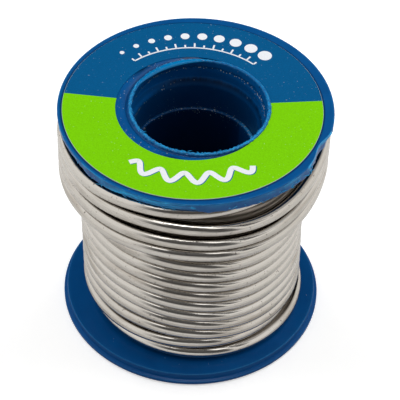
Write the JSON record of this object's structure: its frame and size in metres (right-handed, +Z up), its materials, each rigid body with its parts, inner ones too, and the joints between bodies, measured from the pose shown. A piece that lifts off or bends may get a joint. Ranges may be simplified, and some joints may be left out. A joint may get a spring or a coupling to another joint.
{
  "type": "solder wire spool",
  "caption": "Flanged plastic reel with a through bore, closely wound with soft solder wire, with a round printed paper label on its upper flange.",
  "frame": {"origin": "centre of the reel's underside, on the axis of its bore", "axes": "+Z up along the bore, from the plain flange to the labelled one; -Y faces the front"},
  "size_m": [0.062, 0.062, 0.0602],
  "materials": {
    "reel_plastic": "moulded blue polystyrene with a soft gloss, scuffed along the rims",
    "label_paper": "printed and coated paper, satin",
    "solder_wire": "bright drawn tin-lead wire, lightly dulled and marked"
  },
  "bodies": {
    "root": {"lower_reel_half": "reel_plastic", "upper_reel_half": "reel_plastic", "face_label": "label_paper", "inner_turns": "solder_wire", "wound_wire": "solder_wire"}
  },
  "joints": []
}
